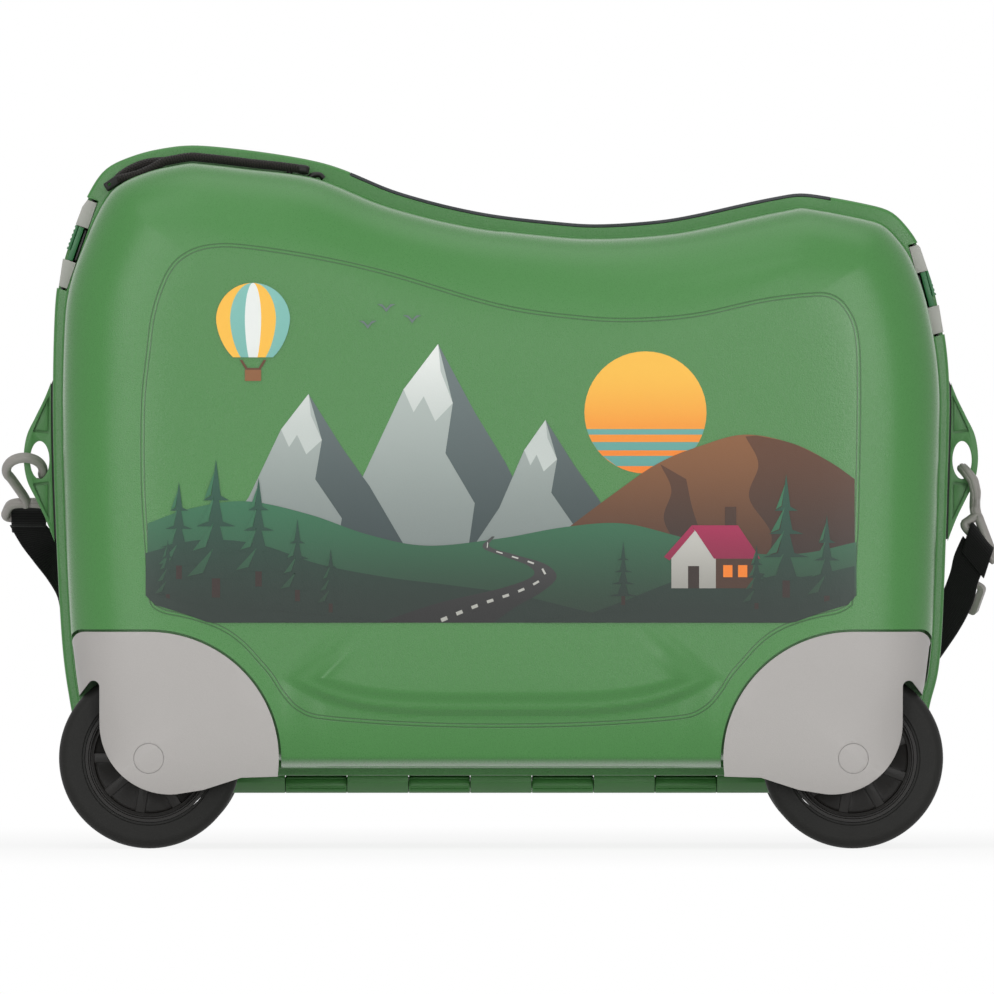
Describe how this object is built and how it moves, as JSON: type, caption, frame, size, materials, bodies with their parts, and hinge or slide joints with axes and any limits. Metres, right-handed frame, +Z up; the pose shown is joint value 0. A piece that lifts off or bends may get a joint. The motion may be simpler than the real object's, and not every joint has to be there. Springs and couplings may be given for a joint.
{
  "type": "ride-on suitcase",
  "caption": "Child's ride-on hard-shell suitcase on wheels, with hinged lid, edge latches, rope grips and a shoulder strap on swivelling hooks.",
  "frame": {"origin": "on the floor under the middle of the case", "axes": "+Z up, -X towards the nose (taller horn), -Y towards the lid that faces the camera, +Y towards the base that carries latches and strap lugs"},
  "size_m": [0.5426, 0.2269, 0.3806],
  "materials": {
    "shell": "satin moulded shell",
    "latch_green": "satin",
    "light_grey": "satin",
    "hook_grey": "satin",
    "black_plastic": "satin",
    "tyre": "matte",
    "seat_strip": "matte",
    "webbing": "woven",
    "rope": "braided",
    "steel": "zinc plated"
  },
  "bodies": {
    "base": {"base_shell": "shell", "seat_strip_base": "seat_strip", "rope_grip_base": "rope", "grip_anchor_base_front": "black_plastic", "grip_anchor_base_rear": "black_plastic", "hinge_pin": "steel", "packing_ribbons": "webbing", "ribbon_buckle": "black_plastic", "shoulder_strap": "webbing", "wheel_cover_base_nose": "light_grey", "axle_cap_base_nose": "light_grey", "axle_base_nose": "steel", "latch_pin_nose": "steel", "strap_lug_nose": "shell", "wheel_cover_base_tail": "light_grey", "axle_cap_base_tail": "light_grey", "axle_base_tail": "steel", "latch_pin_tail": "steel", "strap_lug_tail": "shell"},
    "lid": {"lid_shell": "shell", "seat_strip_lid": "seat_strip", "rope_grip_lid": "rope", "grip_anchor_lid_front": "black_plastic", "grip_anchor_lid_rear": "black_plastic", "wheel_cover_lid_nose": "light_grey", "axle_cap_lid_nose": "light_grey", "axle_lid_nose": "steel", "latch_keeper_nose": "steel", "wheel_cover_lid_tail": "light_grey", "axle_cap_lid_tail": "light_grey", "axle_lid_tail": "steel", "latch_keeper_tail": "steel"},
    "wheel_lid_nose": {"tyre_lid_nose": "tyre", "wheel_hub_lid_nose": "black_plastic"},
    "wheel_lid_tail": {"tyre_lid_tail": "tyre", "wheel_hub_lid_tail": "black_plastic"},
    "wheel_base_nose": {"tyre_base_nose": "tyre", "wheel_hub_base_nose": "black_plastic"},
    "wheel_base_tail": {"tyre_base_tail": "tyre", "wheel_hub_base_tail": "black_plastic"},
    "latch_nose": {"latch_lever_nose": "light_grey", "latch_base_nose": "latch_green"},
    "slider_nose": {"latch_slider_nose": "latch_green"},
    "latch_tail": {"latch_lever_tail": "light_grey", "latch_base_tail": "latch_green"},
    "slider_tail": {"latch_slider_tail": "latch_green"},
    "hook_nose": {"strap_hook_nose": "hook_grey"},
    "hook_tail": {"strap_hook_tail": "hook_grey", "strap_adjuster": "hook_grey"},
    "gate_nose": {"hook_gate_nose": "hook_grey"},
    "gate_tail": {"hook_gate_tail": "hook_grey"}
  },
  "joints": [
    {"name": "lid_hinge", "type": "hinge", "parent": "base", "child": "lid", "pos_m": [0, 0, 0.0335], "axis": [1, 0, 0], "range_deg": [0, 112]},
    {"name": "wheel_lid_nose_spin", "type": "hinge", "parent": "lid", "child": "wheel_lid_nose", "pos_m": [-0.1904, -0.07025, 0.049], "axis": [0, 1, 0], "continuous": true},
    {"name": "wheel_lid_tail_spin", "type": "hinge", "parent": "lid", "child": "wheel_lid_tail", "pos_m": [0.1904, -0.07025, 0.049], "axis": [0, 1, 0], "continuous": true},
    {"name": "wheel_base_nose_spin", "type": "hinge", "parent": "base", "child": "wheel_base_nose", "pos_m": [-0.1904, 0.07025, 0.049], "axis": [0, 1, 0], "continuous": true},
    {"name": "wheel_base_tail_spin", "type": "hinge", "parent": "base", "child": "wheel_base_tail", "pos_m": [0.1904, 0.07025, 0.049], "axis": [0, 1, 0], "continuous": true},
    {"name": "latch_nose_lift", "type": "hinge", "parent": "base", "child": "latch_nose", "pos_m": [-0.23068, 0.01, 0.32787], "axis": [-0.3324, 0, -0.9431], "range_deg": [0, 100]},
    {"name": "slider_nose_press", "type": "slide", "parent": "latch_nose", "child": "slider_nose", "axis": [-0.3324, 0, -0.9431], "range_m": [0, 0.0045], "stiffness_N_per_m": 300},
    {"name": "latch_tail_lift", "type": "hinge", "parent": "base", "child": "latch_tail", "pos_m": [0.23126, 0.01, 0.30315], "axis": [-0.2619, 0, 0.9651], "range_deg": [0, 100]},
    {"name": "slider_tail_press", "type": "slide", "parent": "latch_tail", "child": "slider_tail", "axis": [0.2619, 0, -0.9651], "range_m": [0, 0.0045], "stiffness_N_per_m": 300},
    {"name": "hook_nose_swing", "type": "hinge", "parent": "base", "child": "hook_nose", "pos_m": [-0.25018, 0.0046, 0.207], "axis": [0, 1, 0], "range_deg": [-5, 20], "deforming": ["shoulder_strap"]},
    {"name": "gate_nose_press", "type": "hinge", "parent": "hook_nose", "child": "gate_nose", "pos_m": [-0.25718, 0.01396, 0.19827], "axis": [0, -0.682, -0.7314], "range_deg": [0, 20], "stiffness_Nm_per_rad": 0.02, "springref_deg": -11.46},
    {"name": "hook_tail_swing", "type": "hinge", "parent": "base", "child": "hook_tail", "pos_m": [0.25153, 0.0046, 0.2057], "axis": [0, -1, 0], "range_deg": [-5, 20], "deforming": ["shoulder_strap"]},
    {"name": "gate_tail_press", "type": "hinge", "parent": "hook_tail", "child": "gate_tail", "pos_m": [0.25793, 0.0076, 0.18382], "axis": [0.9598, 0, 0.2807], "range_deg": [0, 20], "stiffness_Nm_per_rad": 0.02, "springref_deg": -11.46}
  ]
}
